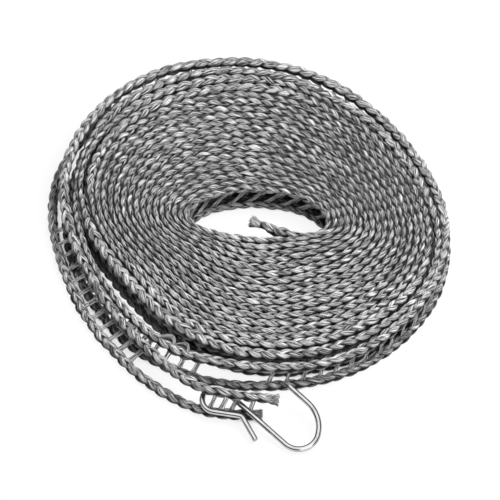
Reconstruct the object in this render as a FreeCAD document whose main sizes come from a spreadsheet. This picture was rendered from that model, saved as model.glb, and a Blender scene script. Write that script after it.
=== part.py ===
"""Coiled ladder clothesline with a wire end hook.

Two knitted side cords are joined by short cross yarns, like a rope ladder. The strap
stands on edge and is wound outwards, counter-clockwise seen from above, round an
almond-shaped eye. The outer turn and a half lie loose, and a bent wire hook is
threaded through the ladder near the free end.

Frame: millimetres, +Z up, Z = 0 the surface that the coil lies on. The origin is on
that surface, below the middle of the whole object.
"""
import FreeCAD, Part
import os
from math import cos, pi, radians, sin, sqrt, tan

from FreeCAD import Placement, Rotation, Vector

os.makedirs("parts", exist_ok=True)
doc = FreeCAD.newDocument("clothesline")

# ---------------------------------------------------------------- driving dimensions
DIMENSIONS = (
    ("cord_diameter", 2.8),
    ("cord_spacing", 8.2),
    ("centre_shift_x", 2.6),
    ("centre_shift_y", 12.3),
    ("eye_half_length", 23.3),
    ("eye_depth_back", 12.0),
    ("eye_depth_front", 8.6),
    ("coil_radius", 59.8),
    ("coil_offset", 1.1),
    ("coil_oval", 5.1),
    ("coil_lobes", 1.1),
    ("coil_side_margin", 1.0),
    ("web_side_margin", 0.6),
    ("coil_turns", 17.0),
    ("coil_first_turn", 0.25),
    ("coil_last_turn", 17.44),
    ("cross_yarn_diameter", 1.0),
    ("cross_yarn_spacing", 5.7),
    ("cross_yarn_seat", 0.5),
    ("cross_yarn_group_length", 63.0),
    ("cross_yarn_clearance", 1.6),
    ("slot_length", 34.0),
    ("end_slot_from_tip", 51.0),
    ("ring_from_tip", 19.45),
    ("shank_from_tip", 5.95),
    ("middle_yarn_from_tip", 12.6),
    ("tip_length", 2.4),
    ("tip_diameter", 3.6),
    ("hook_wire", 1.9),
    ("hook_tail_run", 9.0),
    ("hook_tail_bend", 2.2),
    ("hook_tail_angle", 52.0),
    ("hook_bar_run", 8.6),
    ("hook_ring_bend", 4.5),
    ("hook_shank_angle", 34.4),
    ("hook_shank_run", 28.5),
    ("hook_bight_bend", 6.4),
    ("hook_throat_run", 0.4),
    ("hook_lead_bend", 13.0),
    ("hook_lead_angle", 55.2),
    ("hook_lead_run", 8.6),
    ("hook_tilt", 14.0),
    ("hook_turn", -11.1),
    ("hook_seat_x", -11.1),
    ("hook_seat_y", -76.7),
    ("hook_seat_clearance", 0.95),
)

sheet = doc.addObject("Spreadsheet::Sheet", "Dimensions")
for line, (name, value) in enumerate(DIMENSIONS, start=1):
    sheet.set("A%d" % line, name)
    sheet.set("B%d" % line, str(value))
    sheet.setAlias("B%d" % line, name)
doc.recompute()


def size(name):
    """The value of one driving dimension."""
    return float(sheet.get(name))


CORD_RADIUS = size("cord_diameter") / 2
LOW = CORD_RADIUS
HIGH = CORD_RADIUS + size("cord_spacing")
SHIFT = Vector(size("centre_shift_x"), size("centre_shift_y"), 0)

# The loose stretch of the strap, counter-clockwise about the coil's eye: angle in
# degrees, distance of the lower cord, distance of the upper cord, and how far the upper
# cord hangs below its height in the coil.
LOOSE_STRAP = (
    (70, 60.6, 60.6, 0), (85, 63.8, 63.6, 0), (100, 66.2, 65.9, 0), (115, 67.3, 67.0, 0),
    (130, 68.2, 67.7, 0), (145, 67.8, 66.8, 0.1), (160, 66.4, 64.8, 0.1), (175, 64.4, 61.9, 0.3),
    (190, 62.2, 59.4, 0.4), (204, 60.9, 58.3, 0.4), (218, 61.0, 58.2, 0.4), (232, 63.2, 61.0, 0.3),
    (246, 66.0, 64.3, 0.1), (260, 67.3, 66.2, 0.1), (274, 67.4, 67.1, 0), (288, 68.4, 68.3, 0),
    (302, 68.6, 68.5, 0), (316, 67.8, 67.6, 0), (330, 67.1, 67.0, 0), (344, 65.9, 65.8, 0),
    (358, 64.1, 63.9, 0), (372, 62.2, 61.6, 0.1), (387, 60.9, 60.1, 0.1), (402, 61.3, 60.5, 0.1),
    (417, 63.2, 62.5, 0.1), (432, 66.1, 65.6, 0), (447, 68.7, 68.3, 0), (462, 70.7, 70.3, 0),
    (477, 72.7, 72.3, 0), (492, 73.3, 72.5, 0.1), (507, 72.6, 71.0, 0.3), (522, 71.3, 68.9, 0.6),
    (537, 70.2, 66.8, 1.1), (551, 69.0, 64.6, 1.7), (565, 68.5, 63.4, 2.2), (579, 69.8, 63.5, 2.4),
    (592, 73.0, 65.5, 2.3), (603, 76.0, 69.4, 1.8), (613, 78.6, 75.0, 1.1), (621, 80.3, 77.2, 0.8),
)
# Where the two cords of the free end stop: angle, distance, and the rise of the lower cord
# or the drop of the upper one.
FREE_END_LOW = (631, 79.9, 0.6)
FREE_END_HIGH = (635, 79.2, 0.8)
# The inner end of the strap, in the eye, from its cut end to the coil: x, y and the
# lower cord's height above the surface, less its radius.
INNER_END = (
    (-1.2, -2.0, 0.6), (4.2, -3.9, 0), (8.9, -5.0, 0), (13.8, -5.2, 0), (18.5, -4.0, 0), (22.4, -0.7, 0),
)


# ---------------------------------------------------------------- places
def polar(angle, distance, height):
    """A point about the coil's eye, in the object's frame."""
    return SHIFT + Vector(distance * cos(radians(angle)), distance * sin(radians(angle)), height)


# ---------------------------------------------------------------- outline of the coil
def eye_distance(angle):
    """Distance from the middle to the innermost turn."""
    turn = radians(angle)
    depth = size("eye_depth_back") if sin(turn) > 0 else size("eye_depth_front")
    length = size("eye_half_length")
    return length * depth / sqrt((depth * cos(turn)) ** 2 + (length * sin(turn)) ** 2)


def rim_distance(angle):
    """Distance from the middle to the outermost tight turn."""
    turn = radians(angle)
    shift = size("coil_offset") * cos(turn - radians(60))
    oval = size("coil_oval") * cos(2 * (turn + radians(50)))
    lobes = size("coil_lobes") * cos(4 * (turn + radians(18)))
    return size("coil_radius") + shift + oval + lobes


def turn_point(turns, margin, height):
    """A point on the spiral after so many turns, moved outwards by a margin."""
    angle = 360 * turns - 90
    share = (turns - size("coil_first_turn")) / size("coil_turns")
    distance = eye_distance(angle) * (1 - share) + rim_distance(angle) * share
    return polar(angle, distance + margin, height)


def spiral_edge(first_turn, margin, height):
    """One turn of the spiral as a smooth edge, and the short step that closes it."""
    steps = 48
    points = [turn_point(first_turn + i / steps, margin, height) for i in range(steps + 1)]
    curve = Part.BSplineCurve()
    curve.interpolate(points)
    step = Part.makeLine(points[-1], points[0])
    return Part.Wire([curve.toShape(), step])


def coil_slab(label, bottom, thickness, margin_name):
    """The outer shape of all tight turns of one layer, with the eye open."""
    margin = size(margin_name)
    outer = spiral_edge(size("coil_last_turn") - 1, margin, bottom)
    inner = spiral_edge(size("coil_first_turn"), -margin, bottom)
    outline = doc.addObject("Part::Feature", label + "_outline")
    outline.Shape = Part.makeFace([outer, inner], "Part::FaceMakerBullseye")
    slab = doc.addObject("Part::Extrusion", label)
    slab.Base = outline
    slab.DirMode = "Custom"
    slab.Dir = Vector(0, 0, 1)
    slab.setExpression("LengthFwd", thickness)
    slab.Solid = True
    return slab


# ---------------------------------------------------------------- cords
def rounded_path(points):
    """Straight runs joined by tangent arcs, each as large as its two runs allow."""
    edges = []
    radii = []
    start = points[0]
    for before, corner, after in zip(points, points[1:], points[2:]):
        back = before - corner
        on = after - corner
        half_turn = (pi - back.getAngle(on)) / 2
        reach = 0.45 * min(back.Length, on.Length)
        radius = reach / tan(half_turn)
        radii.append(radius)
        arc_in = corner + back.normalize() * reach
        arc_out = corner + on.normalize() * reach
        inward = (back + on).normalize()
        middle = corner + inward * (radius / cos(half_turn) - radius)
        edges.append(Part.LineSegment(start, arc_in).toShape())
        edges.append(Part.Arc(arc_in, middle, arc_out).toShape())
        start = arc_out
    edges.append(Part.LineSegment(start, points[-1]).toShape())
    return Part.Wire(edges), radii


def swept_round(label, path_wire, diameter):
    """A round bar swept along a wire."""
    path = doc.addObject("Part::Feature", label + "_path")
    path.Shape = path_wire
    first = path_wire.Edges[0]
    begin = first.valueAt(first.FirstParameter)
    heading = first.tangentAt(first.FirstParameter)
    section = doc.addObject("Part::Circle", label + "_section")
    section.setExpression("Radius", diameter + " / 2")
    section.Placement = Placement(begin, Rotation(Vector(0, 0, 1), heading))
    bar = doc.addObject("Part::Sweep", label)
    bar.Sections = [section]
    bar.Spine = (path, ["Edge%d" % (i + 1) for i in range(len(path_wire.Edges))])
    bar.Solid = True
    bar.Frenet = False
    return bar


def cord_tube(label, points):
    """A free stretch of one cord, with its bends and volume printed."""
    wire, radii = rounded_path(points)
    tube = swept_round(label, wire, "Dimensions.cord_diameter")
    doc.recompute()
    expected = pi * CORD_RADIUS ** 2 * wire.Length
    print("%s: length %.1f mm, radii %s" % (label, wire.Length, [round(r, 1) for r in radii]))
    print("%s: volume %.1f, section times length %.1f" % (label, tube.Shape.Volume, expected))
    return wire


def cord_tip(label, end, before):
    """The melted, slightly flared end of a cut cord."""
    tip = doc.addObject("Part::Cone", label)
    tip.setExpression("Radius1", "Dimensions.cord_diameter / 2")
    tip.setExpression("Radius2", "Dimensions.tip_diameter / 2")
    tip.setExpression("Height", "Dimensions.tip_length")
    heading = (end - before).normalize()
    tip.Placement = Placement(end, Rotation(Vector(0, 0, 1), heading))
    return tip


# ---------------------------------------------------------------- cross yarns
def nearest(wire, point):
    """The point of a wire that lies closest to another point."""
    return wire.distToShape(Part.Vertex(point))[1][0][0]


def cross_yarn(label, low, high):
    """One cross yarn, from just inside one cord to just inside the other."""
    span = high - low
    heading = Vector(span).normalize()
    yarn = doc.addObject("Part::Cylinder", label)
    yarn.setExpression("Radius", "Dimensions.cross_yarn_diameter / 2")
    inset = "Dimensions.cord_diameter / 2 - Dimensions.cross_yarn_seat"
    yarn.setExpression("Height", "%.6f - 2 * (%s)" % (span.Length, inset))
    reach = CORD_RADIUS - size("cross_yarn_seat")
    yarn.Placement = Placement(low + heading * reach, Rotation(Vector(0, 0, 1), heading))
    return yarn


def yarn_group(label, pairs):
    """Cross yarns that stand side by side, as one group of separate solids."""
    yarns = [cross_yarn("%s_yarn_%d" % (label, i + 1), low, high) for i, (low, high) in enumerate(pairs)]
    group = doc.addObject("Part::Compound", label)
    group.Links = yarns
    return group


def loose_yarn_groups(low_wire, high_wire):
    """Groups of cross yarns along the loose strap, with an open slot between groups."""
    spacing = size("cross_yarn_spacing")
    slot = size("slot_length")
    per_group = int(size("cross_yarn_group_length") / spacing) + 1
    slot_place = low_wire.Length - size("end_slot_from_tip")
    places = low_wire.discretize(Distance=0.5)
    step = low_wire.Length / (len(places) - 1)

    def pair(place):
        low = places[int(round(place / step))]
        return low, nearest(high_wire, low)

    clear = (size("hook_wire") + size("cross_yarn_diameter")) / 2 + size("cross_yarn_clearance")
    from_tip = (
        size("ring_from_tip") - clear,
        size("middle_yarn_from_tip"),
        size("shank_from_tip") + clear,
        size("shank_from_tip") - clear,
    )
    groups = [[pair(low_wire.Length - distance) for distance in from_tip]]
    place = slot_place
    while place > spacing:
        group = []
        while len(group) < per_group and place > spacing:
            group.append(pair(place))
            place -= spacing
        groups.append(group)
        place -= slot - spacing
    for number, group in enumerate(reversed(groups), start=1):
        yarn_group("cross_yarns_%d" % number, group)


# ---------------------------------------------------------------- hook
def hook_path():
    """The bent wire's centre line in its own plane, as runs and bends, tail first.

    A run is (length, None). A bend is (radius, angle), to the left where positive.
    """
    tail = size("hook_tail_angle")
    shank = size("hook_shank_angle")
    lead = size("hook_lead_angle")
    moves = (
        (size("hook_tail_run"), None),
        (size("hook_tail_bend"), tail),
        (size("hook_bar_run"), None),
        (size("hook_ring_bend"), -180 - shank),
        (size("hook_shank_run"), None),
        (size("hook_bight_bend"), 90 + shank),
        (size("hook_throat_run"), None),
        (size("hook_lead_bend"), lead),
        (size("hook_lead_run"), None),
    )
    place = Vector(0, 0, 0)
    heading = radians(180 - tail)
    edges = []
    ring_centre = None
    for amount, angle in moves:
        ahead = Vector(cos(heading), sin(heading), 0)
        if angle is None:
            target = place + ahead * amount
            edges.append(Part.LineSegment(place, target).toShape())
            place = target
            continue
        side = 1 if angle > 0 else -1
        to_centre = Vector(-ahead.y, ahead.x, 0) * side
        centre = place + to_centre * amount
        if amount == size("hook_ring_bend"):
            ring_centre = centre
        middle, target = [
            centre - Rotation(Vector(0, 0, 1), angle * part).multVec(to_centre) * amount
            for part in (0.5, 1.0)
        ]
        edges.append(Part.Arc(place, middle, target).toShape())
        place = target
        heading += radians(angle)
    wire = Part.Wire(edges)
    wire.translate(Vector(-2.5, 0.65, 0) - ring_centre)
    return wire


def end_hook():
    """The polished wire hook, lying with its bar on the lower cord."""
    hook = swept_round("end_hook", hook_path(), "Dimensions.hook_wire")
    height = size("cord_diameter") + size("hook_wire") / 2 + size("hook_seat_clearance")
    seat = SHIFT + Vector(size("hook_seat_x"), size("hook_seat_y"), height)
    turned = Rotation(Vector(0, 0, 1), size("hook_turn"))
    tilted = Rotation(Vector(1, 0, 0), size("hook_tilt"))
    hook.Placement = Placement(seat, turned.multiply(tilted))
    return hook


# ---------------------------------------------------------------- the whole object
coil_slab("lower_cord_coil", 0, "Dimensions.cord_diameter", "coil_side_margin")
web_height = "Dimensions.cord_spacing - Dimensions.cord_diameter"
coil_slab("cross_yarn_coil", LOW + CORD_RADIUS, web_height, "web_side_margin")
coil_slab("upper_cord_coil", HIGH - CORD_RADIUS, "Dimensions.cord_diameter", "coil_side_margin")

low_points = [polar(angle, low, LOW) for angle, low, high, drop in LOOSE_STRAP]
high_points = [polar(angle, high, HIGH - drop) for angle, low, high, drop in LOOSE_STRAP]
end_angle, end_distance, end_rise = FREE_END_LOW
low_points.append(polar(end_angle, end_distance, LOW + end_rise))
end_angle, end_distance, end_drop = FREE_END_HIGH
high_points.append(polar(end_angle, end_distance, HIGH - end_drop))
low_wire = cord_tube("lower_cord_loose_turns", low_points)
high_wire = cord_tube("upper_cord_loose_turns", high_points)
cord_tip("lower_cord_outer_tip", low_points[-1], low_points[-2])
cord_tip("upper_cord_outer_tip", high_points[-1], high_points[-2])
loose_yarn_groups(low_wire, high_wire)

low_inner = [SHIFT + Vector(x, y, LOW + lift) for x, y, lift in reversed(INNER_END)]
high_inner = [SHIFT + Vector(x, y, HIGH) for x, y, lift in reversed(INNER_END)]
low_inner_wire = cord_tube("lower_cord_inner_end", low_inner)
high_inner_wire = cord_tube("upper_cord_inner_end", high_inner)
cord_tip("lower_cord_inner_tip", low_inner[-1], low_inner[-2])
cord_tip("upper_cord_inner_tip", high_inner[-1], high_inner[-2])
inner_places = [low_inner_wire.discretize(Distance=4.0)[i] for i in (1, 2, 3, 4)]
yarn_group("cross_yarns_inner_end", [(p, nearest(high_inner_wire, p)) for p in inner_places])

end_hook()
doc.recompute()

SUB_PARTS = [
    obj for obj in doc.Objects
    if obj.TypeId in ("Part::Extrusion", "Part::Sweep", "Part::Cone", "Part::Compound")
]
for obj in doc.Objects:
    if "Invalid" in obj.State or "Error" in obj.State:
        raise RuntimeError("%s could not be built: %s" % (obj.Label, obj.State))
for obj in SUB_PARTS:
    if obj.Shape.isNull() or not obj.Shape.isValid():
        raise RuntimeError("%s has no valid shape" % obj.Label)
for obj in SUB_PARTS:
    obj.Shape.exportStep("parts/%s.step" % obj.Label)
    print("%s: %d solids, volume %.1f" % (obj.Label, len(obj.Shape.Solids), obj.Shape.Volume))

whole = SUB_PARTS[0].Shape.BoundBox
for obj in SUB_PARTS:
    whole.add(obj.Shape.BoundBox)
print("box", whole)
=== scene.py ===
"""Coiled ladder clothesline: knitted cords, cross yarns, cut ends and polished hook."""
import bpy
import numpy as np
from bpy.props import FloatProperty, FloatVectorProperty, IntProperty
from math import cos, pi, radians, sin, sqrt
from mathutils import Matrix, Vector, kdtree


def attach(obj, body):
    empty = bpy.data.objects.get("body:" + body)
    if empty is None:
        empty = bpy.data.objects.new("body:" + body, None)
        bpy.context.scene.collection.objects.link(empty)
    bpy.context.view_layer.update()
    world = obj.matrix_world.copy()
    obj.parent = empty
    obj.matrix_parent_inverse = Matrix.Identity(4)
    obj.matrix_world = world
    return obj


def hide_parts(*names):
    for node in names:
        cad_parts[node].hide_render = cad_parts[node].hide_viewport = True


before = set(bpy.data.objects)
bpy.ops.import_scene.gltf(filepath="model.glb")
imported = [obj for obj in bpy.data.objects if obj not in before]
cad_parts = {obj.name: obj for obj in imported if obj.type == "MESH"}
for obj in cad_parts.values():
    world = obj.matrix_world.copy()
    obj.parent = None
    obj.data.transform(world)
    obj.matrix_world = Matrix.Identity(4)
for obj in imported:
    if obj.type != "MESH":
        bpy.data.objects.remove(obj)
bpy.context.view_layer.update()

bl_info = {
    "name": "Coiled Ladder Clothesline",
    "version": (1, 0, 0),
    "blender": (4, 5, 0),
    "location": "3D View > Sidebar > Clothesline",
    "description": "Knits the cords, cross yarns, cut ends and hook of a coiled ladder clothesline",
    "category": "Object",
}

# ---------------------------------------------------------------- route of the strap
EYE = Vector((0.0026, 0.0123, 0.0))
LOW = 0.0014     # height of the lower cord's middle
HIGH = 0.0096    # height of the upper cord's middle
# The loose strap about the eye: angle in degrees, distance of the lower cord, distance of
# the upper cord, and how far the upper cord hangs below its height in the coil.
LOOSE_STRAP = (
    (70, 0.0606, 0.0606, 0), (85, 0.0638, 0.0636, 0), (100, 0.0662, 0.0659, 0),
    (115, 0.0673, 0.0670, 0), (130, 0.0682, 0.0677, 0), (145, 0.0674, 0.0662, 0.0001),
    (160, 0.0660, 0.0642, 0.0004), (175, 0.0645, 0.0615, 0.0010), (190, 0.0633, 0.0595, 0.0014),
    (204, 0.0627, 0.0587, 0.0015), (218, 0.0635, 0.0589, 0.0013), (232, 0.0652, 0.0613, 0.0008),
    (246, 0.0664, 0.0646, 0.0002), (258, 0.0673, 0.0645, 0.0002), (272, 0.0674, 0.0662, 0.0001),
    (288, 0.0684, 0.0683, 0), (302, 0.0686, 0.0685, 0), (316, 0.0678, 0.0676, 0),
    (330, 0.0671, 0.0670, 0), (344, 0.0659, 0.0658, 0), (358, 0.0641, 0.0639, 0),
    (372, 0.0622, 0.0616, 0.0001), (387, 0.0609, 0.0601, 0.0001), (402, 0.0613, 0.0605, 0.0001),
    (417, 0.0632, 0.0625, 0.0001), (432, 0.0661, 0.0656, 0), (447, 0.0687, 0.0683, 0),
    (462, 0.0707, 0.0703, 0), (477, 0.0727, 0.0723, 0), (492, 0.0731, 0.0721, 0.0001),
    (507, 0.0724, 0.0704, 0.0003), (522, 0.0715, 0.0684, 0.0006), (537, 0.0689, 0.0645, 0.0011),
    (551, 0.0668, 0.0617, 0.0017), (565, 0.0670, 0.0607, 0.0022), (579, 0.0690, 0.0620, 0.0024),
    (592, 0.0716, 0.0651, 0.0023), (603, 0.0756, 0.0692, 0.0018), (613, 0.0786, 0.0750, 0.0011),
    (621, 0.0803, 0.0772, 0.0008),
)
# The free ends: angle, distance, and how far the lower one rises or the upper one drops.
FREE_END_LOW = (631, 0.0799, 0.0006)
FREE_END_HIGH = (635, 0.0792, 0.0008)
# The inner end in the eye, from its cut end: x, y, the lower cord's lift and how far it is
# tucked in under the front of the eye.
INNER_END = (
    (-0.0012, -0.0020, 0.0006, 0.0040), (0.0040, -0.0049, 0, 0.0028), (0.0084, -0.0069, 0, 0.0012),
    (0.0124, -0.0082, 0, 0.0003), (0.0164, -0.0088, 0, 0), (0.0203, -0.0084, 0, 0),
    (0.0236, -0.0064, 0, 0), (0.0250, -0.0030, 0, 0), (0.0243, 0.0006, 0, 0),
)
# The tight turns: where the spiral starts and stops, the turns from the eye's edge to the
# rim, and the points that shape each turn.
FIRST_TURN = 0.25
LAST_TURN = 17.44
TURNS = 17.0
POINTS_PER_TURN = 30
# How far a cord wanders from its even place in the tight turns.
UPPER_WANDER = 0.0003
LOWER_WANDER = 0.0002
# The outermost tight turn stands off a little: at these turns, by these distances.
FULL_TURN = (
    (16.30, 16.50, 16.68, 16.88, 16.95, 17.02, 17.07, 17.13, 17.22, 17.44),
    (0, 0.0010, 0.0011, 0.0012, 0.0010, 0.0014, 0.0017, 0.0007, 0.0009, 0.0010),
)
# The innermost turn: half the eye's length, half its depth at the back and at the front,
# and the share by which it swells out at the lower right.
EYE_LENGTH = 0.0233
EYE_BACK = 0.012
EYE_FRONT = 0.0086
EYE_SWELL = ((-60, -45, -30, -11, 0, 10), (1, 1.10, 1.27, 1.24, 1.06, 1))
# The outermost tight turn: its mean distance, then the size of its shift, its oval, its four
# lobes and its dent, each with an angle. The dent falls away over 90 / 1.6 degrees each way.
RIM = 0.0598
RIM_SHIFT = (0.0011, 60)
RIM_OVAL = (0.0051, 50)
RIM_LOBES = (0.0011, 18)
RIM_DENT = (0.0020, 212)
DENT_NARROWING = 1.6


def polar(angle, distance, height):
    """A point about the coil's eye."""
    return EYE + Vector((distance * cos(radians(angle)), distance * sin(radians(angle)), height))


def eye_distance(angle):
    """Distance from the middle to the innermost turn."""
    turn = radians(angle)
    depth = EYE_BACK if sin(turn) > 0 else EYE_FRONT
    swell = np.interp((angle + 180) % 360 - 180, *EYE_SWELL)
    span = sqrt((depth * cos(turn)) ** 2 + (EYE_LENGTH * sin(turn)) ** 2)
    return swell * EYE_LENGTH * depth / span


def rim_distance(angle):
    """Distance from the middle to the outermost tight turn."""
    turn = radians(angle)
    shift = RIM_SHIFT[0] * cos(turn - radians(RIM_SHIFT[1]))
    oval = RIM_OVAL[0] * cos(2 * (turn + radians(RIM_OVAL[1])))
    lobes = RIM_LOBES[0] * cos(4 * (turn + radians(RIM_LOBES[1])))
    off = abs((angle - RIM_DENT[1] + 180) % 360 - 180)
    dent = RIM_DENT[0] * cos(radians(min(90, off * DENT_NARROWING))) ** 2
    return RIM + shift + oval + lobes - dent


def coil_points(height, wander):
    """The tight turns of one cord: a spiral that wanders a little up and down."""
    points = []
    count = int((LAST_TURN - FIRST_TURN) * POINTS_PER_TURN)
    for i in range(1, count):
        turns = FIRST_TURN + i / POINTS_PER_TURN
        angle = 360 * turns - 90
        share = (turns - FIRST_TURN) / TURNS
        distance = eye_distance(angle) * (1 - share) + rim_distance(angle) * share
        distance += np.interp(turns, *FULL_TURN)
        lift = wander * (0.6 * sin(5.3 * turns) + 0.4 * sin(13.7 * turns + 2.0))
        points.append(polar(angle, distance, height + wander * 0.5 + lift * 0.5))
    return points


def cord_points(upper):
    """Control points of one whole cord, from its inner cut end to its outer one."""
    height = HIGH if upper else LOW
    points = [EYE + Vector((x, y - (0 if upper else tuck), height + (0 if upper else lift)))
              for x, y, lift, tuck in INNER_END]
    points += coil_points(height, UPPER_WANDER if upper else LOWER_WANDER)
    for angle, low, high, drop in LOOSE_STRAP:
        points.append(polar(angle, high, HIGH - drop) if upper else polar(angle, low, LOW))
    if upper:
        angle, distance, drop = FREE_END_HIGH
        points.append(polar(angle, distance, HIGH - drop))
    else:
        angle, distance, rise = FREE_END_LOW
        points.append(polar(angle, distance, LOW + rise))
    return points


# ---------------------------------------------------------------- reading a cord's line
LINE_STEP = 0.0005            # a cord's places are this far apart
ROOM_STRIDE = 3               # side room is worked out at every third place
NEIGHBOUR_REACH = 0.006       # how far off a neighbouring turn is looked for
OWN_STRETCH = 0.02            # places nearer than this along the cord are not a neighbour
MOST_ROOM = (0.0023, 0.0014)  # where no neighbour is near: on the outer and the inner side


class Line:
    """Evenly spaced places on a cord's spline, with its directions and free room."""

    def __init__(self, points):
        points = np.array(points)
        gaps = np.linalg.norm(np.diff(points, axis=0), axis=1)
        keep = np.concatenate([[True], gaps > 1e-7])
        points = points[keep]
        along = np.concatenate([[0], np.cumsum(np.linalg.norm(np.diff(points, axis=0), axis=1))])
        self.length = along[-1]
        count = int(self.length / LINE_STEP)
        self.s = np.linspace(0, self.length, count)
        self.p = np.stack([np.interp(self.s, along, points[:, k]) for k in range(3)], axis=1)
        ahead = np.gradient(self.p, self.s, axis=0)
        ahead = smooth(ahead, 5)
        self.t = ahead / np.linalg.norm(ahead, axis=1)[:, None]
        self.room = self.side_room()

    def side_room(self):
        """Half the level distance to the nearest other turn, as the mean of the two sides."""
        s, places, headings = (values[::ROOM_STRIDE] for values in (self.s, self.p, self.t))
        tree = kdtree.KDTree(len(s))
        for i, p in enumerate(places):
            tree.insert((p[0], p[1], 0), i)
        tree.balance()
        rooms = np.array(MOST_ROOM)[:, None].repeat(len(s), axis=1)
        for i, (here, p, heading) in enumerate(zip(s, places, headings)):
            for other, j, distance in tree.find_range((p[0], p[1], 0), NEIGHBOUR_REACH):
                if abs(s[j] - here) > OWN_STRETCH:
                    x, y = other[0] - p[0], other[1] - p[1]
                    inner = int(heading[0] * y - heading[1] * x > 0)
                    rooms[inner, i] = min(rooms[inner, i], distance / 2)
        return np.interp(self.s, s, smooth(rooms.mean(axis=0), 9))

    def at(self, s):
        """Places, headings, outward sides, ups and room at distances s."""
        place = np.stack([np.interp(s, self.s, self.p[:, k]) for k in range(3)], axis=-1)
        ahead = np.stack([np.interp(s, self.s, self.t[:, k]) for k in range(3)], axis=-1)
        ahead /= np.linalg.norm(ahead, axis=-1)[..., None]
        out = np.cross(ahead, np.array([0.0, 0.0, 1.0]))
        out /= np.linalg.norm(out, axis=-1)[..., None]
        up = np.cross(out, ahead)
        return place, ahead, out, up, np.interp(s, self.s, self.room)


def smooth(values, width):
    """A running average with its ends kept."""
    pad = width // 2
    if values.ndim == 1:
        padded = np.pad(values, pad, mode="edge")
        return np.convolve(padded, np.ones(width) / width, mode="valid")
    return np.stack([smooth(values[:, k], width) for k in range(values.shape[1])], axis=1)


def slow(seed, s, size, wave):
    """A slow, smooth wander along the line."""
    phase = np.random.default_rng(seed).uniform(0, 2 * pi, 4)
    total = np.zeros_like(s)
    for k, (weight, turn) in enumerate(((0.5, 1.0), (0.3, 1.73), (0.25, 2.91), (0.15, 5.3))):
        total += weight * np.sin(2 * pi * s / wave * turn + phase[k])
    return size * total


# ---------------------------------------------------------------- meshes
def add_mesh(name, arrays, material):
    """A smooth-shaded mesh object from vertices, quads and data. The data columns are the
    place across a yarn (-1 to 1), the place along it, its own tone and how far out of the
    stitch it is, which sets how much painted valley shade it gets."""
    vertices, faces, data = arrays
    mesh = bpy.data.meshes.new(name)
    vertices = np.asarray(vertices, dtype=np.float32).reshape(-1, 3)
    faces = np.asarray(faces, dtype=np.int32)
    mesh.vertices.add(len(vertices))
    mesh.vertices.foreach_set("co", vertices.ravel())
    mesh.loops.add(faces.size)
    mesh.loops.foreach_set("vertex_index", faces.ravel())
    mesh.polygons.add(len(faces))
    mesh.polygons.foreach_set("loop_start", np.arange(0, faces.size, 4, dtype=np.int32))
    mesh.update(calc_edges=True)
    mesh.polygons.foreach_set("use_smooth", np.ones(len(faces), dtype=bool))
    data = np.asarray(data, dtype=np.float32).reshape(-1, 4)
    layer = mesh.uv_layers.new(name="yarn")
    layer.data.foreach_set("uv", data[faces.ravel(), :2].ravel())
    for column, title in ((2, "tone"), (3, "rise")):
        layer = mesh.attributes.new(title, "FLOAT", "POINT")
        layer.data.foreach_set("value", data[:, column].copy())
    mesh.validate()
    mesh.materials.append(material)
    piece = bpy.data.objects.new(name, mesh)
    bpy.context.scene.collection.objects.link(piece)
    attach(piece, "line")
    return piece


def tube_faces(strands, rings, sides):
    """Quads of many tubes whose rings follow each other."""
    ring = np.arange(rings - 1)[:, None] * sides
    side = np.arange(sides)[None, :]
    following = (side + 1) % sides
    after = ring + sides
    corners = [ring + side, ring + following, after + following, after + side]
    quad = np.stack(corners, axis=-1).reshape(-1, 4)
    return (quad[None] + np.arange(strands)[:, None, None] * rings * sides).reshape(-1, 4)


def with_data(vertices, *values):
    """Vertices with a further column for every value."""
    columns = [np.broadcast_to(value, vertices.shape[:-1])[..., None] for value in values]
    return np.concatenate([vertices] + columns, axis=-1)


def tubes(paths, widths, tone, rise, sides):
    """Round tubes along many paths (strand, ring, 3), with a half width at every ring."""
    count, rings = paths.shape[:2]
    ahead = np.gradient(paths, axis=1)
    ahead /= np.linalg.norm(ahead, axis=-1)[..., None] + 1e-12
    aside = np.cross(ahead, np.array([0.13, 0.21, 0.97]))
    aside /= np.linalg.norm(aside, axis=-1)[..., None] + 1e-12
    over = np.cross(aside, ahead)
    along = np.broadcast_to(np.linspace(0, 2, rings)[None, :], (count, rings))
    columns = []
    for a in np.linspace(0, 2 * pi, sides, endpoint=False):
        v = paths + (aside * cos(a) + over * sin(a)) * widths[..., None]
        columns.append(with_data(v, cos(a), along, tone[:, None], rise))
    data = np.stack(columns, axis=2).reshape(-1, 7)
    return data[:, :3], tube_faces(count, rings, sides), data[:, 3:]


def join_arrays(parts):
    """One set of vertices, quads and data from several."""
    vertices, faces, data, start = [], [], [], 0
    for v, f, d in parts:
        vertices.append(v)
        faces.append(f + start)
        data.append(d)
        start += len(v)
    return np.concatenate(vertices), np.concatenate(faces), np.concatenate(data)


# ---------------------------------------------------------------- stitches
LEG_SIDES = 12
# One leg of a stitch, station by station: distance along in stitches, turn away from the
# middle of its wale, depth, half width and half thickness, as shares of the sizes.
LEG = np.array([
    (-0.32, -0.03, 0.30, 0.24, 0.10),
    (-0.18, 0.03, 0.46, 0.54, 0.22),
    (-0.04, 0.13, 0.61, 0.88, 0.32),
    (0.14, 0.28, 0.72, 1.16, 0.38),
    (0.34, 0.43, 0.77, 1.30, 0.40),
    (0.54, 0.55, 0.75, 1.28, 0.38),
    (0.72, 0.63, 0.67, 1.12, 0.34),
    (0.88, 0.66, 0.56, 0.90, 0.28),
    (1.02, 0.62, 0.44, 0.66, 0.22),
    (1.14, 0.52, 0.32, 0.42, 0.16),
    (1.22, 0.40, 0.22, 0.20, 0.10),
])
LEG_RINGS = len(LEG)
WALES = 2
LEG_SPREAD = radians(84)
# The wales lie rolled over where turn lies against turn, further at the back of the coil
# than at its front.
TIGHT_TURN_ROLL = radians(45)
ROLL_SWING = radians(38)
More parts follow.
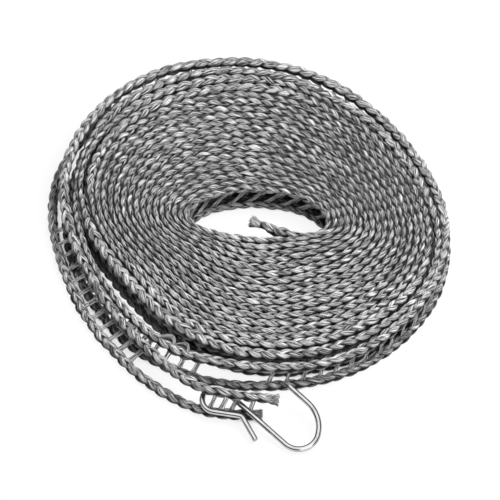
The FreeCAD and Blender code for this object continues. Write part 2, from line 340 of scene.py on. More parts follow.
# How much one stitch differs from the next, in the order of the random draws: its place and
# length, its spread, width, depth and thickness, its tone, and its turn round the cord.
STITCH_SCATTER = np.array([0.06, 0.12, 0.14, 0.16, 0.10, 0.10, 1.0, 0.07])
MOST_STITCHES = 4000
WALE_STAGGER = 0.5              # the wales' stitches start this far apart, in stitches,
LEG_STAGGER = 0.15              # and a stitch's two legs this far before and after
LEG_LEAN = 0.30                 # a leg is thickest towards the edge of its wale
# The side room from which a cord counts as loose, and by how much its stitches are then
# drawn up to one depth, wider, thinner and fuller, and reach past their half of the room.
LOOSE_ROOM = (0.00135, 0.00170)
LOOSE_DEPTH = 0.70
LOOSE_LEVELLING = 0.25
LOOSE_WIDENING = 0.06
LOOSE_THINNING = 0.25
LOOSE_FILLING = 0.10
LOOSE_REACH = 0.0006
TIGHT_REACH = 0.00008
LOWEST_YARN = 0.00004           # the yarn stays this far above the floor
# The side room from which the cord starts to grow fuller, and the room it takes to do so.
GROWS_FROM = 0.00125
GROWS_OVER = 0.0006
# How full the upper cord is knitted, by the distance from its outer end.
FULLNESS = (
    (0, 0.040, 0.075, 0.140, 0.180, 0.640, 0.780, 0.850, 0.950, 1.040),
    (0.84, 0.90, 1.0, 1.0, 0.88, 0.90, 0.96, 1.12, 1.12, 1.0),
)
LOWER_FULLNESS = 0.88


def cord_radius(room):
    """The cord is fuller where its neighbours leave it room."""
    sizes = bpy.context.scene.clothesline_sizes
    loose = np.clip((room - GROWS_FROM) / GROWS_OVER, 0, 1)
    return sizes.tight_radius + (sizes.loose_radius - sizes.tight_radius) * loose


def leg_block(line, index, wale, side, seed, upper):
    """One leg of each stitch of a wale, as an array (stitch, ring, place round it, column)."""
    sizes = bpy.context.scene.clothesline_sizes
    stitch = sizes.stitch_length
    random = np.random.default_rng(seed + 17 * wale + 5 * side)
    scatter = random.uniform(-1, 1, (len(STITCH_SCATTER), MOST_STITCHES))[:, index, None]
    scatter = STITCH_SCATTER[:, None, None] * scatter
    shift, longer, spread, wider, deeper, thicker, tone, turned = scatter
    along, away, depth, width, thickness = LEG.T
    start = (index[:, None] + WALE_STAGGER * wale + LEG_STAGGER * side) * stitch + shift * stitch
    s = np.clip(start + along * stitch * (1 + longer), 0, line.length - 0.0006)
    place, _, out, up, room = line.at(s)
    radius = cord_radius(room)
    radius = radius * (np.interp(line.length - s, *FULLNESS) if upper else LOWER_FULLNESS)
    loose = np.interp(room, LOOSE_ROOM, (0, 1))
    x, y = place[..., 0] - EYE[0], place[..., 1] - EYE[1]
    roll = TIGHT_TURN_ROLL + ROLL_SWING * (y / np.hypot(x, y))
    twist = slow(seed + 3, s, radians(12), 0.07) + roll * (1 - loose)
    middle = (pi / 2 if upper else -pi / 2) + wale * 2 * pi / WALES + twist
    turn = middle + side * away * LEG_SPREAD * (1 + spread)
    turn = turn + turned
    depth = depth + LOOSE_LEVELLING * loose * (LOOSE_DEPTH - depth)
    depth = depth * (1 + deeper) * radius
    wide = width * (1 + wider) * sizes.leg_half_width / sizes.tight_radius
    wide = wide * (1 + LOOSE_WIDENING * loose)
    thick = thickness * (1 + thicker) * (1 - LOOSE_THINNING * loose) * radius
    free = room + TIGHT_REACH + LOOSE_REACH * loose
    squeeze = np.minimum(radius * (1 + LOOSE_FILLING * loose), free) / radius
    places = []
    for a in np.linspace(0, 2 * pi, LEG_SIDES, endpoint=False):
        angle = turn + np.cos(a + LEG_LEAN * side) * wide
        reach = depth + np.sin(a) * thick
        aside = np.cos(angle) * reach * squeeze
        rise = np.sin(angle) * reach
        v = place + out * aside[..., None] + up * rise[..., None]
        v[..., 2] = np.maximum(v[..., 2], LOWEST_YARN)
        # Painted shade: the inner side and the thin ends of each leg get the dark valley colour,
        # its wide outer middle the crown colour, and loose cords a little less shade.
        valley_shade_mask = np.sin(a) * width + 0.05 * loose
        places.append(with_data(v, np.cos(a), along, 0.5 + 0.5 * tone, valley_shade_mask))
    return np.stack(places, axis=2)


def stitch_mesh(line, s_first, s_last, seed, upper):
    """All legs of the stitches between two places of a cord."""
    stitch = bpy.context.scene.clothesline_sizes.stitch_length
    index = np.arange(int(np.ceil(s_first / stitch)), int(np.ceil(s_last / stitch)))
    blocks = [leg_block(line, index, wale, side, seed, upper)
              for wale in range(WALES) for side in (-1, 1)]
    data = np.stack(blocks).reshape(-1, 7)
    faces = tube_faces(len(blocks) * len(index), LEG_RINGS, LEG_SIDES)
    return data[:, :3], faces, data[:, 3:]


# ---------------------------------------------------------------- cut ends and pulled loops
TUFT_FILAMENTS = 110
TUFT_STARTS = 0.0032         # the filaments start this far inside the cord's end
TUFT_REACH = 0.0036          # and are this long, give or take
TUFT_SCATTER = 0.0005
TUFT_HALF_WIDTH = 0.00125
TUFT_FLARE = 0.60
TUFT_SWIRL = 0.7
TUFT_FILAMENT = 0.00017
TUFT_LOWEST = 0.00020


def tuft_mesh(line, at_start, seed):
    """The cut end of a cord: its filaments spread a little and stop unevenly."""
    random = np.random.default_rng(seed)
    longer, turn, share, flare, thicker, tone = random.uniform(-1, 1, (6, TUFT_FILAMENTS, 1))
    t = np.linspace(0, 1, 7)
    inner = TUFT_STARTS - (TUFT_REACH + TUFT_SCATTER * longer) * t
    s = inner if at_start else line.length - inner
    place, ahead, out, up, _ = line.at(np.clip(s, 0, line.length))
    beyond = np.maximum(0, -inner)
    place = place + ahead * (beyond * (-1 if at_start else 1))[..., None]
    flare = 1.00 + TUFT_FLARE * t ** 2 * (1 + 0.5 * flare)
    width = TUFT_HALF_WIDTH * np.sqrt(np.abs(share)) * flare
    swirl = pi * turn + TUFT_SWIRL * t
    aside, over = np.cos(swirl) * width, np.sin(swirl) * width
    path = place + out * aside[..., None] + up * over[..., None]
    path[..., 2] = np.maximum(path[..., 2], TUFT_LOWEST)
    widths = TUFT_FILAMENT * (1 + 0.2 * thicker) * np.interp(t, (0, 0.85, 1), (1, 1, 0.75))
    return tubes(path, widths, 0.5 + 0.5 * tone[:, 0], 1.4, 5)


# Two pulled loops on the loose strap: where on the upper cord (angle and distance about the
# eye), how far each stands out, and its length along the cord.
PULLED_LOOPS = ((241.5, 0.0622, 0.0030, 0.0058), (246.8, 0.0630, 0.0028, 0.0054))


LOOP_FILAMENTS = 16
LOOP_HALF_WIDTH = 0.00024


def pulled_loop_mesh(line, seed):
    """Slack bundles of filaments that bow out of a cord, inwards and up, and back in."""
    parts = []
    t = np.linspace(0, 1, 17)
    for number, (angle, distance, stand, span) in enumerate(PULLED_LOOPS):
        random = np.random.default_rng(seed + number)
        longer, aside, over, tone, thicker = random.uniform(-1, 1, (5, LOOP_FILAMENTS, 1))
        foot = np.array(polar(angle, distance, HIGH))
        nearest = np.argmin(np.linalg.norm(line.p - foot, axis=1))
        s = line.s[nearest] + (t - 0.5) * span * (1 + 0.12 * longer)
        s = s + 0.0010 * np.sin(pi * t)
        place, _, out, up, _ = line.at(s)
        bow = np.sin(pi * t) ** 0.8 * stand
        place = place - out * (0.0002 + 0.75 * bow + 0.00055 * aside)[..., None]
        path = place + up * (0.0010 + 0.35 * bow + 0.00050 * over)[..., None]
        widths = np.full(path.shape[:2], LOOP_HALF_WIDTH) * (1 + 0.15 * thicker)
        parts.append(tubes(path, widths, 0.5 + 0.5 * tone[:, 0], 0.8, 6))
    return join_arrays(parts)


# ---------------------------------------------------------------- cross yarns
YARN_SPACING = 0.0057
YARN_GROUP = 12
SLOT = 0.034
# The single yarns at the free end, by their distance from it.
END_YARNS = (0.0164, 0.0126, 0.0090, 0.0029)
# Groups nearest the free end: first and last place back from it, and their spacing.
FRONT_GROUPS = (
    (0.0510, 0.1140, 0.0057), (0.1477, 0.2110, 0.0057), (0.2444, 0.3075, 0.0057),
    (0.3411, 0.4270, 0.0057), (0.4524, 0.4690, 0.0057), (0.4690, 0.5260, 0.0029),
)
BACK_GROUPS_FROM = 0.5600
# The group at the inner end: first and last place from it, and the spacing.
INNER_GROUP = (0.0190, 0.1400, 0.0060)
# How far along a yarn slants on its way up, by its place on the lower cord.
YARN_SLANT = ((0.05, 0.1, 0.6, 4.1, 4.3), (-0.0060, -0.0058, -0.0034, -0.0012, 0.0018))
SLANT_SCATTER = 0.0009
YARN_BOW = 0.0005
# Half the width of a yarn where it enters the cords and in the middle, each with the
# scatter of its strands, and how far up from the cord's middle the strands start.
YARN_FOOT = (0.00125, 0.00022)
YARN_WAIST = (0.00066, 0.00016)
YARN_SEAT = 0.0007


def yarn_places(length):
    """Distances along the lower cord of all cross yarns, from the free end inwards."""
    places = [length - d for d in END_YARNS]
    for first, last, gap in FRONT_GROUPS:
        places += [length - d for d in np.arange(first, last, gap)]
    place = length - BACK_GROUPS_FROM
    while place > INNER_GROUP[1]:
        for _ in range(YARN_GROUP):
            if place > INNER_GROUP[1]:
                places.append(place)
            place -= YARN_SPACING
        place -= SLOT - YARN_SPACING
    places += list(np.arange(*INNER_GROUP))
    return np.array(sorted(places))


def partner(low, high, s):
    """The place on the upper cord that stands over each place on the lower one."""
    places = low.at(s)[0]
    guess = s * high.length / low.length
    result = []
    for place, g in zip(places, guess):
        near = np.abs(high.s - g) < 0.02
        gap = np.linalg.norm(high.p[near] - place, axis=1)
        result.append(high.s[near][np.argmin(gap)])
    return np.array(result)


def yarn_mesh(low, high, s_low, seed):
    """Flat bundles of thin strands from one cord to the other, spread where they enter."""
    sizes = bpy.context.scene.clothesline_sizes
    s_high = partner(low, high, s_low)
    random = np.random.default_rng(seed)
    count = len(s_low)
    slant = np.interp(s_low, *YARN_SLANT) + SLANT_SCATTER * random.uniform(-1, 1, count)
    bow = YARN_BOW * random.uniform(-1, 1, count)
    t = np.linspace(0, 1, 9)
    pinch = np.sin(pi * t) ** 0.7
    paths, tones = [], []
    for k in range(sizes.strand_count):
        share = k / (sizes.strand_count - 1) * 2 - 1
        foot, waist, sway, tone, shift = random.uniform(-1, 1, (5, count))
        end = share * YARN_FOOT[0] + foot * YARN_FOOT[1]
        mid = share * YARN_WAIST[0] + waist * YARN_WAIST[1]
        below = low.at(np.clip(s_low + end - slant / 2, 0, low.length))
        above = high.at(np.clip(s_high + end + shift * 0.0003 + slant / 2, 0, high.length))
        start = below[0] + below[3] * YARN_SEAT
        stop = above[0] - above[3] * YARN_SEAT
        path = start[:, None] * (1 - t)[:, None] + stop[:, None] * t[:, None]
        path = path + below[1][:, None] * ((mid - end)[:, None] * pinch)[..., None]
        sway = (bow + sway * 0.00022)[:, None] * pinch
        paths.append(path + below[2][:, None] * sway[..., None])
        tones.append(0.5 + 0.5 * tone)
    paths = np.concatenate(paths)
    widths = np.full(paths.shape[:2], sizes.strand_radius)
    return tubes(paths, widths, np.concatenate(tones), 1.0, 6)


# ---------------------------------------------------------------- materials
# Changes of range, each from low, from high, to low, to high.
FILAMENT_EDGE = (0.42, 0.57, 0.0, 1.0)      # where the noise turns from groove to filament
FILAMENT_SHADE = (0.0, 1.0, 0.04, 1.44)     # painted shade in the grooves, painted highlight on the filaments
YARN_VARIETY = (0.0, 1.0, 0.80, 1.08)       # from the darkest yarn to the lightest
CROWN_SPAN = (0.32, 1.04, 0.0, 1.0)         # painted shade: from the dark valley down in a stitch to its crown
YARN_NOOK = (0.25, 0.66)                    # openness from closed in to free, over which painted shade fades out
YARN_ROUGHNESS = (0.0, 1.0, 0.64, 0.48)
STEEL_PATCHES = (0.35, 0.6, 0.0, 1.0)
STEEL_ROUGHNESS = (0.3, 0.7, 0.14, 0.08)
STEEL_SHADE = 0.82                          # the duller patches of the wire
FLOOR_NOOK = (0.08, 0.22, 0.0, 0.885)
SKY_BAND = (0.66, 0.80, 0.08, 1.30)         # in metal it is dim low down and bright overhead
YARN_NOOK_SIZE = 0.010
FLOOR_NOOK_SIZE = 0.009
# The floor's grey for the light it throws back, and for the eye.
FLOOR_BOUNCE = (0.42, 0.42, 0.42)
FLOOR_SEEN = (0.9, 0.9, 0.9)


def colours():
    """The scene's colour settings."""
    return bpy.context.scene.clothesline_colours


def new_material(name):
    """An empty node material with its output and shader."""
    material = bpy.data.materials.new(name)
    material.use_nodes = True
    nodes = material.node_tree.nodes
    links = material.node_tree.links
    nodes.clear()
    output = nodes.new("ShaderNodeOutputMaterial")
    shader = nodes.new("ShaderNodeBsdfPrincipled")
    links.new(shader.outputs["BSDF"], output.inputs["Surface"])
    return material, nodes, links, shader


def new_node(nodes, kind, **values):
    """A node with values on its inputs, whose names have _ for a space."""
    node = nodes.new(kind)
    set_inputs(node, **values)
    return node


def set_inputs(node, **values):
    """Values on a node's inputs, whose names have _ for a space."""
    for title, value in values.items():
        node.inputs[title.replace("_", " ")].default_value = value


def span_node(nodes, links, source, low, high, to_low, to_high):
    """A clamped change of range."""
    node = new_node(nodes, "ShaderNodeMapRange",
                    From_Min=low, From_Max=high, To_Min=to_low, To_Max=to_high)
    links.new(source, node.inputs["Value"])
    return node.outputs["Result"]


def math_node(nodes, links, operation, first, second):
    """A sum, product or greater of two values."""
    node = nodes.new("ShaderNodeMath")
    node.operation = operation
    for socket, value in zip(node.inputs, (first, second)):
        if isinstance(value, (int, float)):
            socket.default_value = value
        else:
            links.new(value, socket)
    return node.outputs["Value"]


def blend_node(nodes, links, factor, first, second):
    """A colour between two others."""
    mix = nodes.new("ShaderNodeMix")
    mix.data_type = "RGBA"
    set_inputs(mix, A=(*first, 1), B=(*second, 1))
    links.new(factor, mix.inputs["Factor"])
    return mix.outputs["Result"]


def nook_node(nodes, distance, samples):
    """How open a place is, from 0 when closed in to 1."""
    nook = new_node(nodes, "ShaderNodeAmbientOcclusion", Distance=distance)
    nook.samples = samples
    return nook.outputs["AO"]


def bump_node(nodes, links, shader, height, strength, distance):
    """Fine relief on a shader."""
    bump = new_node(nodes, "ShaderNodeBump", Strength=strength, Distance=distance)
    links.new(height, bump.inputs["Height"])
    links.new(bump.outputs["Normal"], shader.inputs["Normal"])


def filament_group():
    """Shared node group: fine filaments that run along a yarn, as a height, and a shade
    that is painted shade in the grooves between filaments and painted highlight on them,
    times a tone that varies from yarn to yarn."""
    if "yarn filaments" in bpy.data.node_groups:
        return bpy.data.node_groups["yarn filaments"]
    group = bpy.data.node_groups.new("yarn filaments", "ShaderNodeTree")
    for title, way in (("Filaments", "INPUT"), ("Height", "OUTPUT"), ("Shade", "OUTPUT")):
        group.interface.new_socket(title, in_out=way, socket_type="NodeSocketFloat")
    nodes, links = group.nodes, group.links
    entry = nodes.new("NodeGroupInput")
    leave = nodes.new("NodeGroupOutput")
    uv = nodes.new("ShaderNodeUVMap")
    uv.uv_map = "yarn"
    parts = nodes.new("ShaderNodeSeparateXYZ")
    links.new(uv.outputs["UV"], parts.inputs["Vector"])
    tone = nodes.new("ShaderNodeAttribute")
    tone.attribute_name = "tone"
    slope = math_node(nodes, links, "MULTIPLY", parts.outputs["Y"], 0.35)
    across = math_node(nodes, links, "ADD", parts.outputs["X"], slope)
    across = math_node(nodes, links, "MULTIPLY", across, entry.outputs["Filaments"])
    own = math_node(nodes, links, "MULTIPLY", tone.outputs["Fac"], 91.0)
    along = math_node(nodes, links, "MULTIPLY", parts.outputs["Y"], 1.1)
    place = nodes.new("ShaderNodeCombineXYZ")
    links.new(math_node(nodes, links, "ADD", across, own), place.inputs["X"])
    links.new(along, place.inputs["Y"])
    links.new(own, place.inputs["Z"])
    noise = new_node(nodes, "ShaderNodeTexNoise", Scale=1.0, Detail=3.5, Roughness=0.6)
    links.new(place.outputs["Vector"], noise.inputs["Vector"])
    height = span_node(nodes, links, noise.outputs["Fac"], *FILAMENT_EDGE)
    links.new(height, leave.inputs["Height"])
    # Painted shade in the grooves between filaments, painted highlight on the filaments.
    filament_shade_and_highlight = span_node(nodes, links, height, *FILAMENT_SHADE)
    vary = span_node(nodes, links, tone.outputs["Fac"], *YARN_VARIETY)
    links.new(math_node(nodes, links, "MULTIPLY", filament_shade_and_highlight, vary), leave.inputs["Shade"])
    return group


def yarn_material(name, colour, valley_shade, filaments, relief, deepest_shade=0.06):
    """Nylon multifilament yarn: filaments with painted shade in the grooves between them and
    painted highlight on them, painted shade down between the legs and, down to the given
    share, painted shade where it is closed in."""
    material, nodes, links, shader = new_material(name)
    fine = nodes.new("ShaderNodeGroup")
    fine.node_tree = filament_group()
    set_inputs(fine, Filaments=filaments)
    rise = nodes.new("ShaderNodeAttribute")
    rise.attribute_name = "rise"
    # Painted shade: the dark valley colour down between the legs, the yarn colour on their crowns.
    valley_shade_mask = span_node(nodes, links, rise.outputs["Fac"], *CROWN_SPAN)
    base = blend_node(nodes, links, valley_shade_mask, valley_shade, colour)
    # Painted shade: the colour darkens where the yarn is closed in by its neighbours.
    open_share = nook_node(nodes, YARN_NOOK_SIZE, 4)
    depth = span_node(nodes, links, open_share, *YARN_NOOK, deepest_shade, 1.0)
    shade = math_node(nodes, links, "MULTIPLY", fine.outputs["Shade"], depth)
    scale = nodes.new("ShaderNodeVectorMath")
    scale.operation = "SCALE"
    links.new(base, scale.inputs[0])
    links.new(shade, scale.inputs["Scale"])
    links.new(scale.outputs["Vector"], shader.inputs["Base Color"])
    bump_node(nodes, links, shader, fine.outputs["Height"], 0.9, relief)
    rough = span_node(nodes, links, fine.outputs["Height"], *YARN_ROUGHNESS)
    links.new(rough, shader.inputs["Roughness"])
    set_inputs(shader, Specular_IOR_Level=0.5, Sheen_Weight=0.15)
    return material


def steel_material():
    """Bright drawn wire: fine grain, slight wear and haze."""
    material, nodes, links, shader = new_material("bright drawn steel")
    where = nodes.new("ShaderNodeTexCoord")
    haze = new_node(nodes, "ShaderNodeTexNoise", Scale=420.0, Detail=3.0)
    fine = new_node(nodes, "ShaderNodeTexNoise", Scale=1200.0, Detail=2.0)
    for noise in (haze, fine):
        links.new(where.outputs["Object"], noise.inputs["Vector"])
    steel = colours().steel
    patches = span_node(nodes, links, haze.outputs["Fac"], *STEEL_PATCHES)
    base = blend_node(nodes, links, patches, [c * STEEL_SHADE for c in steel], steel)
    links.new(base, shader.inputs["Base Color"])
    rough = span_node(nodes, links, haze.outputs["Fac"], *STEEL_ROUGHNESS)
    links.new(rough, shader.inputs["Roughness"])
    bump_node(nodes, links, shader, fine.outputs["Fac"], 0.05, 0.000005)
    set_inputs(shader, Metallic=1.0, Specular_Tint=(0.15, 0.15, 0.15, 1))
    return material


def either(nodes, links, path, *rays):
    """1 for any of these kinds of ray, 0 for the rest."""
    most = path.outputs[rays[0]]
    for ray in rays[1:]:
        most = math_node(nodes, links, "MAXIMUM", most, path.outputs[ray])
    return most


SEEN_RAYS = ("Is Camera Ray", "Is Glossy Ray", "Is Transmission Ray")


def floor_material():
    """White floor that keeps a faint shadow and stays dark down in narrow gaps."""
    material, nodes, links, shader = new_material("white floor")
    set_inputs(shader, Roughness=0.9, Specular_IOR_Level=0.0)
    output = nodes["Material Output"]
    glow = new_node(nodes, "ShaderNodeEmission", Color=(*colours().floor, 1))
    seen = either(nodes, links, nodes.new("ShaderNodeLightPath"), *SEEN_RAYS)
    paint = blend_node(nodes, links, seen, FLOOR_BOUNCE, FLOOR_SEEN)
    links.new(paint, shader.inputs["Base Color"])
    clear = span_node(nodes, links, nook_node(nodes, FLOOR_NOOK_SIZE, 8), *FLOOR_NOOK)
    mix = nodes.new("ShaderNodeMixShader")
    links.new(math_node(nodes, links, "MULTIPLY", seen, clear), mix.inputs["Fac"])
    links.new(shader.outputs["BSDF"], mix.inputs[1])
    links.new(glow.outputs["Emission"], mix.inputs[2])
    links.new(mix.outputs["Shader"], output.inputs["Surface"])
    return material


def studio_world():
    """Soft even light. Behind things it shows white, and in metal it is dim low down."""
    world = bpy.data.worlds.new("studio")
    world.use_nodes = True
    nodes, links = world.node_tree.nodes, world.node_tree.links
    base = nodes["Background"]
    fill = bpy.context.scene.clothesline_sizes.fill_strength
    set_inputs(base, Color=(1, 1, 1, 1), Strength=fill)
    show = new_node(nodes, "ShaderNodeBackground", Color=(1, 1, 1, 1))
    where = nodes.new("ShaderNodeTexCoord")
    parts = nodes.new("ShaderNodeSeparateXYZ")
    links.new(where.outputs["Generated"], parts.inputs["Vector"])
    band = span_node(nodes, links, parts.outputs["Z"], *SKY_BAND)
    path = nodes.new("ShaderNodeLightPath")
    straight = either(nodes, links, path, "Is Camera Ray", "Is Transmission Ray")
    bright = math_node(nodes, links, "MAXIMUM", band, straight)
    links.new(bright, show.inputs["Strength"])
    mix = nodes.new("ShaderNodeMixShader")
    links.new(either(nodes, links, path, *SEEN_RAYS), mix.inputs["Fac"])
    links.new(base.outputs["Background"], mix.inputs[1])
    links.new(show.outputs["Background"], mix.inputs[2])
    links.new(mix.outputs["Shader"], nodes["World Output"].inputs["Surface"])
    return world


# ---------------------------------------------------------------- settings
class ClotheslineSizes(bpy.types.PropertyGroup):
    """Sizes of the knitted cords and of what crosses them"""
    cord_diameter: FloatProperty(
        name="Cord diameter", description="Width of a side cord", default=0.0028, unit="LENGTH")
    tight_radius: FloatProperty(
        name="Tight radius", description="Half height of a cord in the coil",
        default=0.00158, unit="LENGTH")
    loose_radius: FloatProperty(
        name="Loose radius", description="Half width of a cord with room round it",
        default=0.00198, unit="LENGTH")
    core_radius: FloatProperty(
        name="Core radius", description="Half width of the dark core for painted shade",
        default=0.0010, unit="LENGTH")
    stitch_length: FloatProperty(
        name="Stitch length", description="Length of one knitted stitch",
        default=0.0046, unit="LENGTH")
    leg_half_width: FloatProperty(
        name="Leg half width", description="Half width of a stitch's leg",
        default=0.00098, unit="LENGTH")
    strand_radius: FloatProperty(
        name="Strand radius", description="Half width of a cross yarn's strand",
        default=0.00014, unit="LENGTH")
    strand_count: IntProperty(
        name="Strands", description="Strands in one cross yarn", default=7, min=2)
    fill_strength: FloatProperty(
        name="Fill strength", description="Strength of the even light from all round", default=0.20)
    key_power: FloatProperty(
        name="Key power", description="Power of the main soft lamp", default=15.0, unit="POWER")


class ClotheslineColours(bpy.types.PropertyGroup):
    """Colours of the yarns, the steel and the floor, with the painted shade down in the cords"""
    yarn: FloatVectorProperty(
        name="Yarn", description="Crowns of the stitches", subtype="COLOR",
        default=(0.55, 0.55, 0.555))
    # Painted shade: the dark colour of the yarn down between the stitches.
    valley_shade: FloatVectorProperty(
        name="Valley", description="Yarn down between the stitches", subtype="COLOR",
        default=(0.020, 0.020, 0.020))
    # Painted shade: the near-black core fills the gaps between stitches, where the inside of the
    # cord is in shade.
    core: FloatVectorProperty(
        name="Core", description="Inner yarn under the stitches", subtype="COLOR",
        default=(0.03, 0.03, 0.03))
    cross_yarn: FloatVectorProperty(
        name="Cross yarn", description="Thin strands between the cords", subtype="COLOR",
        default=(0.66, 0.66, 0.665))
    steel: FloatVectorProperty(
        name="Steel", description="Polished hook", subtype="COLOR", default=(0.66, 0.66, 0.67))
    floor: FloatVectorProperty(
        name="Floor", description="Floor and background", subtype="COLOR", default=(1.0, 1.0, 1.0))


# ---------------------------------------------------------------- operators
# Each cord's name, whether it is the upper one, and the seed of its stitches.
CORDS = (("upper_cord", True, 100), ("lower_cord", False, 900))
STITCH_PIECES = 12
YARN_PIECES = 6
STITCHES_FROM = 0.0030    # the first and last stitches stop this far from the cord's ends
STITCHES_TO = 0.0040
LINES = {}
# The lamps: name, place, size and whether metal shows them. The key lamp's power is a
# setting.
FRONT_POWER = 2.6
LAMPS = (
    ("key", (0.42, 0.12, 0.86), 0.80, False),
    ("front", (0.36, -0.80, 0.52), 0.8, True),
)
FLOOR_HALF_WIDTH = 3.0
AIM = Vector((0.0006, -0.0021, 0.0096))
CAMERA_RISE = radians(50)
CAMERA_DISTANCE = 6.0
CAMERA_LENS = 236 * CAMERA_DISTANCE / 1.1


def cord_line(name):
    """The evenly spaced line of one laid cord."""
    if name not in LINES:
        core = bpy.data.objects[name]
        depth, caps = core.data.bevel_depth, core.data.use_fill_caps
        core.data.bevel_depth, core.data.use_fill_caps = 0, False
        mesh = bpy.data.meshes.new_from_object(core)
        LINES[name] = Line([tuple(v.co) for v in mesh.vertices])
        bpy.data.meshes.remove(mesh)
        core.data.bevel_depth, core.data.use_fill_caps = depth, caps
    return LINES[name]


class CLOTHESLINE_OT_lay_cords(bpy.types.Operator):
    """Lay the cores of the two side cords along the strap's route; their dark colour is painted
    shade inside the cords
    """
    bl_idname = "clothesline.lay_cords"
    bl_label = "Lay cords"

    def execute(self, context):
        # Painted shade: the core's near-black colour stands for the shade inside the cord.
        finish = yarn_material("dark core for painted shade", colours().core, colours().core, 4.0, 0.00002)
        for name, upper, _ in CORDS:
            curve = bpy.data.curves.new(name, "CURVE")
            curve.dimensions = "3D"
            spline = curve.splines.new("NURBS")
            points = cord_points(upper)
            spline.points.add(len(points) - 1)
            for target, point in zip(spline.points, points):
                target.co = (*point, 1)
            spline.order_u = 3
            spline.use_endpoint_u = True
            curve.resolution_u = 8
            core = bpy.data.objects.new(name, curve)
            context.scene.collection.objects.link(core)
            cord_line(name)
            curve.bevel_depth = context.scene.clothesline_sizes.core_radius
            curve.bevel_resolution = 1
            curve.use_fill_caps = True
            curve.materials.append(finish)
            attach(core, "line")
            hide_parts(*["%s_%s" % (name, rest) for rest in
                                ("coil", "loose_turns", "outer_tip", "inner_end", "inner_tip")])
        return {"FINISHED"}


class CLOTHESLINE_OT_knit_stitches(bpy.types.Operator):
    """Knit the V-shaped stitches round both cords"""
    bl_idname = "clothesline.knit_stitches"
    bl_label = "Knit stitches"

    def execute(self, context):
        yarn = yarn_material("grey nylon stitches", colours().yarn, colours().valley_shade, 5.6, 0.00024)
        for name, upper, seed in CORDS:
            line = cord_line(name)
            first, last = STITCHES_FROM, line.length - STITCHES_TO
            for part in range(STITCH_PIECES):
                start = first + (last - first) * part / STITCH_PIECES
                stop = first + (last - first) * (part + 1) / STITCH_PIECES
                arrays = stitch_mesh(line, start, stop, seed, upper)
                add_mesh("%s_stitches_%02d" % (name, part + 1), arrays, yarn)
        return {"FINISHED"}


class CLOTHESLINE_OT_cut_ends(bpy.types.Operator):
    """Spread the filaments at the cords' four cut ends"""
    bl_idname = "clothesline.cut_ends"
    bl_label = "Cut ends"

    def execute(self, context):
        finish = yarn_material(
            "cut nylon filaments", colours().yarn, colours().valley_shade, 3.0, 0.00004, 0.75)
        for name, _, seed in CORDS:
            for end, at_start in (("inner", True), ("outer", False)):
                arrays = tuft_mesh(cord_line(name), at_start, seed + 41 + at_start)
                add_mesh("%s_%s_cut_end" % (name, end), arrays, finish)
        return {"FINISHED"}


class CLOTHESLINE_OT_pulled_loops(bpy.types.Operator):
    """Raise the two pulled loops of yarn on the loose strap"""
    bl_idname = "clothesline.pulled_loops"
    bl_label = "Pulled loops"

    def execute(self, context):
        finish = yarn_material(
            "slack nylon filaments", colours().yarn, colours().valley_shade, 3.0, 0.00004, 0.40)
        add_mesh("upper_cord_pulled_loops", pulled_loop_mesh(cord_line("upper_cord"), 61), finish)
        return {"FINISHED"}


class CLOTHESLINE_OT_cross_yarns(bpy.types.Operator):
    """String the cross yarns between the two cords"""
    bl_idname = "clothesline.cross_yarns"
    bl_label = "Cross yarns"

    def execute(self, context):
        finish = yarn_material(
            "thin cross yarn", colours().cross_yarn, colours().cross_yarn, 2.0, 0.00002, 0.75)
        low, high = cord_line("lower_cord"), cord_line("upper_cord")
        shares = np.array_split(yarn_places(low.length), YARN_PIECES)
        for number, places in enumerate(shares, start=1):
            arrays = yarn_mesh(low, high, places, 70 + number)
            piece = add_mesh("cross_yarns_bundle_%d" % number, arrays, finish)
            if number == 1:
                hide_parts("cross_yarn_coil", "cross_yarns_inner_end",
                            *["cross_yarns_%d" % i for i in range(1, 9)])
        return {"FINISHED"}


class CLOTHESLINE_OT_name_cords(bpy.types.Operator):
    """Work out each cord's outer end and rounded length, without keeping them"""
    bl_idname = "clothesline.name_cords"
    bl_label = "Name cords"

    def execute(self, context):
        for name, upper, _ in CORDS:
            end = cord_points(upper)[-1]
            round(cord_line(name).length, 3)
        return {"FINISHED"}


class CLOTHESLINE_OT_finish_hook(bpy.types.Operator):
    """Give the hook its bright drawn wire finish"""
    bl_idname = "clothesline.finish_hook"
    bl_label = "Finish hook"

    def execute(self, context):
        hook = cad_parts["end_hook"]
        hook.data.materials.clear()
        hook.data.materials.append(steel_material())
        return {"FINISHED"}


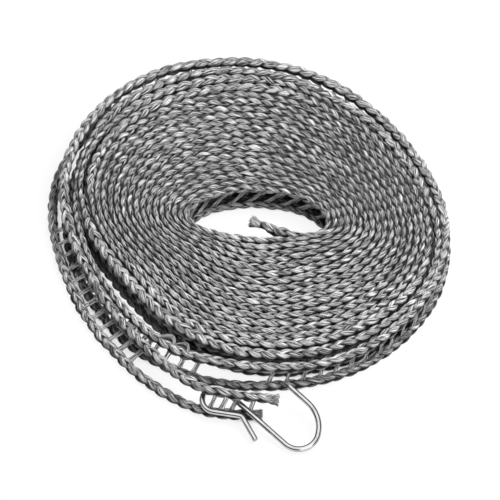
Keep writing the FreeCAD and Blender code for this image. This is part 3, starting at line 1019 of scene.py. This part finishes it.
class CLOTHESLINE_OT_set_stage(bpy.types.Operator):
    """Set the floor, the soft lamps and the camera"""
    bl_idname = "clothesline.set_stage"
    bl_label = "Set stage"

    def execute(self, context):
        scene = context.scene
        scene.view_settings.view_transform = "Standard"
        mesh = bpy.data.meshes.new("floor")
        w = FLOOR_HALF_WIDTH
        mesh.from_pydata([(-w, -w, 0), (w, -w, 0), (w, w, 0), (-w, w, 0)], [], [(0, 1, 2, 3)])
        floor = bpy.data.objects.new("floor", mesh)
        scene.collection.objects.link(floor)
        mesh.materials.append(floor_material())
        scene.world = studio_world()
        for name, place, size, in_metal in LAMPS:
            light = bpy.data.lights.new(name, "AREA")
            light.size = size
            light.energy = scene.clothesline_sizes.key_power if name == "key" else FRONT_POWER
            lamp = bpy.data.objects.new(name, light)
            lamp.location = place
            lamp.visible_glossy = in_metal
            lamp.rotation_euler = (-Vector(place)).to_track_quat("-Z", "Y").to_euler()
            scene.collection.objects.link(lamp)
        camera = bpy.data.cameras.new("camera")
        camera.lens = CAMERA_LENS
        camera.sensor_width = 36
        rig = bpy.data.objects.new("camera", camera)
        back = Vector((0, -cos(CAMERA_RISE), sin(CAMERA_RISE))) * CAMERA_DISTANCE
        rig.location = AIM + back
        rig.rotation_euler = (radians(90) - CAMERA_RISE, 0, 0)
        scene.collection.objects.link(rig)
        scene.camera = rig
        return {"FINISHED"}


STEPS = (
    CLOTHESLINE_OT_set_stage, CLOTHESLINE_OT_lay_cords, CLOTHESLINE_OT_knit_stitches,
    CLOTHESLINE_OT_cut_ends, CLOTHESLINE_OT_pulled_loops, CLOTHESLINE_OT_cross_yarns,
    CLOTHESLINE_OT_name_cords, CLOTHESLINE_OT_finish_hook,
)


class CLOTHESLINE_PT_panel(bpy.types.Panel):
    """Buttons that build the clothesline piece by piece"""
    bl_label = "Clothesline"
    bl_idname = "CLOTHESLINE_PT_panel"
    bl_space_type = "VIEW_3D"
    bl_region_type = "UI"
    bl_category = "Clothesline"

    def draw(self, context):
        for settings in (context.scene.clothesline_sizes, context.scene.clothesline_colours):
            for title in settings.__annotations__:
                self.layout.prop(settings, title)
        for step in STEPS:
            self.layout.operator(step.bl_idname)


CLASSES = (ClotheslineSizes, ClotheslineColours, *STEPS, CLOTHESLINE_PT_panel)


def register():
    for cls in CLASSES:
        bpy.utils.register_class(cls)
    bpy.types.Scene.clothesline_sizes = bpy.props.PointerProperty(type=ClotheslineSizes)
    bpy.types.Scene.clothesline_colours = bpy.props.PointerProperty(type=ClotheslineColours)


def unregister():
    del bpy.types.Scene.clothesline_colours
    del bpy.types.Scene.clothesline_sizes
    for cls in reversed(CLASSES):
        bpy.utils.unregister_class(cls)


def main():
    register()
    bpy.ops.clothesline.set_stage()
    bpy.ops.clothesline.lay_cords()
    bpy.ops.clothesline.knit_stitches()
    bpy.ops.clothesline.cut_ends()
    bpy.ops.clothesline.pulled_loops()
    bpy.ops.clothesline.cross_yarns()
    bpy.ops.clothesline.name_cords()
    bpy.ops.clothesline.finish_hook()


if __name__ == "__main__":
    main()
